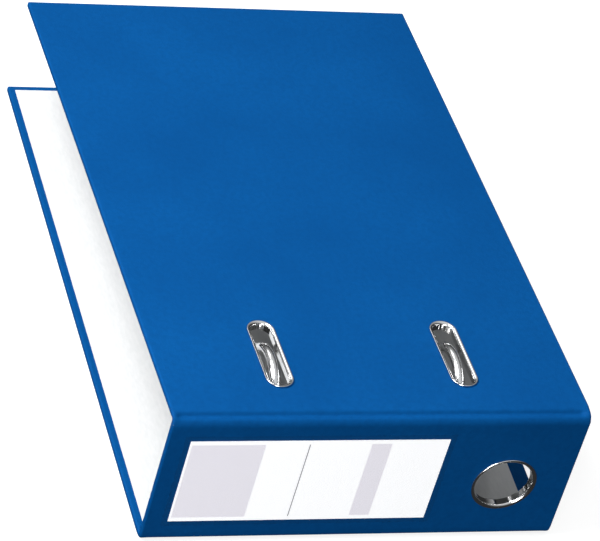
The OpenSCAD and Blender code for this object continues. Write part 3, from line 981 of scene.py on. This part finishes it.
def base_plate():
    """Pressed plate with ribs, and the two lugs curled round the shaft."""
    columns, rows = 200, 90
    corner = PLATE_CORNER
    lo, hi = Vector(PLATE_LO), Vector(PLATE_HI)

    def squeeze(u, v):
        """A point of the unit square on the plate, with the plate's corners rounded."""
        x, y = lo.x + (hi.x - lo.x) * u, lo.y + (hi.y - lo.y) * v
        near_y = min(y - lo.y, hi.y - y)
        if near_y < corner:
            half = (hi.x - lo.x) / 2 - corner + math.sqrt(max(corner ** 2 - (corner - near_y) ** 2, 0))
            x = (lo.x + hi.x) / 2 + (u - 0.5) * 2 * half
        return x, y

    spots = [[squeeze(j / columns, i / rows) for j in range(columns + 1)] for i in range(rows + 1)]
    top = [[Vector((x, y, plate_height(x, y))) for x, y in row] for row in spots]
    bottom = [[Vector((x, y, PLATE_LO[2])) for x, y in row] for row in spots]
    whole = grid_solid(top, bottom)

    def curled(radius):
        """A line from the plate up and round the shaft, in the shaft's own place."""
        curl = arc((0, 0, 0), (0, -1, 0), (0, 0, 1), radius, 0, LUG_CURL, 36)
        return [Vector((0, -radius, PLATE_TOP - SHAFT[2])), *curl]

    bore = WIRE_R + LUG_GAP
    for x in (-LUG_X, LUG_X):
        ends = (x - LUG_HALF_W, x + LUG_HALF_W)
        sheets = [
            [[Vector((end, SHAFT[1] + p.y, SHAFT[2] + p.z)) for end in ends] for p in curled(radius)]
            for radius in (bore + LUG_T, bore)
        ]
        add_part(whole, grid_solid(*sheets))
    obj = piece("base_plate_pressing", whole, "nickel_steel")
    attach(obj, "back")
    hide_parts("base_plate")


def dome_rivets(name, node, spots, r_head, r_shank, low, top, cap, foot=0):
    """Rivets as one piece: a shank from low to top, a domed cap above, and a flat head of height foot
    below, or none if that is 0."""
    base = [(0, low), (r_shank, low)]
    if foot:
        base = [(0, low), (r_head - 0.2 * MM, low), (r_head, low + 0.15 * MM), (r_head, low + foot),
                (r_shank, low + foot)]
    turns = [math.pi / 2 * k / 8 for k in range(8)]
    dome = [(r_head * math.cos(a), top + cap * math.sin(a)) for a in turns]
    profile = [*base, (r_shank, top), *dome, (0, top + cap)]
    whole = bmesh.new()
    for x, y in spots:
        add_part(whole, placed(lathe(profile, 32), Matrix.Translation((x, y, 0))))
    obj = piece(name, whole, "rivet_steel")
    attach(obj, "back")
    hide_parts(node)


arch_wire()
posts()
base_plate()
dome_rivets("cover_rivet_set", "cover_rivets", [(x, Y_FACE + s) for x, s in RIVETS],
            r_head=4.5 * MM, r_shank=2.4 * MM, low=0.02 * MM, top=PLATE_TOP, cap=0.7 * MM,
            foot=0.45 * MM)
bracket_lo, bracket_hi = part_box("bracket_rivets")
bracket_y = (bracket_lo[1] + bracket_hi[1]) / 2
dome_rivets("bracket_rivet_set", "bracket_rivets", [(x, bracket_y) for x in (-11.6 * MM, 11.6 * MM)],
            r_head=2.5 * MM, r_shank=1.5 * MM, low=bracket_lo[2], top=bracket_hi[2] - 0.7 * MM,
            cap=0.7 * MM)
softened("lever_bracket", "nickel_steel", 0.25 * MM, "back")
softened("lever_pin", "rivet_steel", 0.2 * MM, "back")
softened("lever", "nickel_steel", 0.3 * MM, "lever")
softened("roller_axle", "rivet_steel", 0.12 * MM, "lever")
softened("roller", "roller_nylon", 0.35 * MM, "roller")
softened("compressor_bar", "nickel_steel", 0.3 * MM, "compressor")
for node in ("back_board", "spine_board", "front_board"):
    board = frame["nodes"][node]
    board.data.materials.clear()
    board.data.materials.append(MATERIALS["board_grey"])

# ---- floor, light and camera ----

FLOOR_SIZE = 12
LIT = (0, 0, 0.03)                          # where the softboxes point

bpy.ops.mesh.primitive_plane_add(size=FLOOR_SIZE)
floor = bpy.context.object
floor.name = "floor"
floor.data.materials.append(floor_pale())
floor.visible_diffuse = False
floor.visible_glossy = False


def softbox(name, place, size, power):
    """A square area light at place, pointing at the file. It isn't seen itself."""
    light = bpy.data.lights.new(name, "AREA")
    light.shape, light.size, light.energy = "SQUARE", size, power
    obj = bpy.data.objects.new(name, light)
    obj.location = place
    obj.rotation_euler = (Vector(place) - Vector(LIT)).to_track_quat("Z", "Y").to_euler()
    obj.visible_camera = False
    bpy.context.scene.collection.objects.link(obj)


softbox("key_softbox", place=(-0.74, 0.1, 0.96), size=0.75, power=21.7)
softbox("front_softbox", place=(-0.42, -0.95, 0.27), size=0.45, power=5.6)
softbox("rear_softbox", place=(-0.69, 1.26, 1.1), size=0.8, power=3.2)


BRIGHTEST = (-0.32, 0.06, 0.945)            # the direction that the surroundings are brightest in


def studio_world():
    """Soft surroundings: brightest overhead and to the left, and nearly white where seen directly."""
    world = bpy.data.worlds.new("studio")
    world.use_nodes = True
    tree = world.node_tree
    surroundings = tree.nodes["Background"]

    def add(kind, **settings):
        node = tree.nodes.new(kind)
        for key, value in settings.items():
            setattr(node, key, value)
        return node

    place = add("ShaderNodeTexCoord")
    lift = add("ShaderNodeVectorMath", operation="DOT_PRODUCT")
    lift.inputs[1].default_value = BRIGHTEST
    tree.links.new(place.outputs["Generated"], lift.inputs[0])
    glow = add("ShaderNodeMapRange", interpolation_type="SMOOTHSTEP")
    for key, value in (("From Min", 0.0), ("From Max", 1.0), ("To Min", 0.03), ("To Max", 0.75)):
        glow.inputs[key].default_value = value
    tree.links.new(lift.outputs["Value"], glow.inputs["Value"])
    tree.links.new(glow.outputs["Result"], surroundings.inputs["Strength"])
    surroundings.inputs["Color"].default_value = (0.97, 0.985, 1.0, 1)
    seen = add("ShaderNodeBackground")
    seen.inputs["Color"].default_value = (0.94, 0.94, 0.94, 1)
    path = add("ShaderNodeLightPath")
    blend = add("ShaderNodeMixShader")
    tree.links.new(path.outputs["Is Camera Ray"], blend.inputs["Fac"])
    tree.links.new(surroundings.outputs[0], blend.inputs[1])
    tree.links.new(seen.outputs[0], blend.inputs[2])
    tree.links.new(blend.outputs[0], tree.nodes["World Output"].inputs["Surface"])
    bpy.context.scene.world = world


studio_world()

bpy.context.scene.view_settings.view_transform = "Standard"

LENS = 231.9
YAW, PITCH, ROLL = (math.radians(a) for a in (-25.51, 39.39, 17.26))
ASIDE, ABOVE, AWAY = 0.0148, 0.0147, 1.6953     # where the camera stands, in its own directions

camera_data = bpy.data.cameras.new("camera")
camera_data.lens = LENS
camera_data.clip_end = 20
camera = bpy.data.objects.new("camera", camera_data)
tilted = Matrix.Rotation(math.pi / 2 - PITCH, 4, "X") @ Matrix.Rotation(ROLL, 4, "Z")
camera.matrix_world = Matrix.Rotation(YAW, 4, "Z") @ tilted @ Matrix.Translation((ASIDE, ABOVE, AWAY))
bpy.context.scene.collection.objects.link(camera)
bpy.context.scene.camera = camera
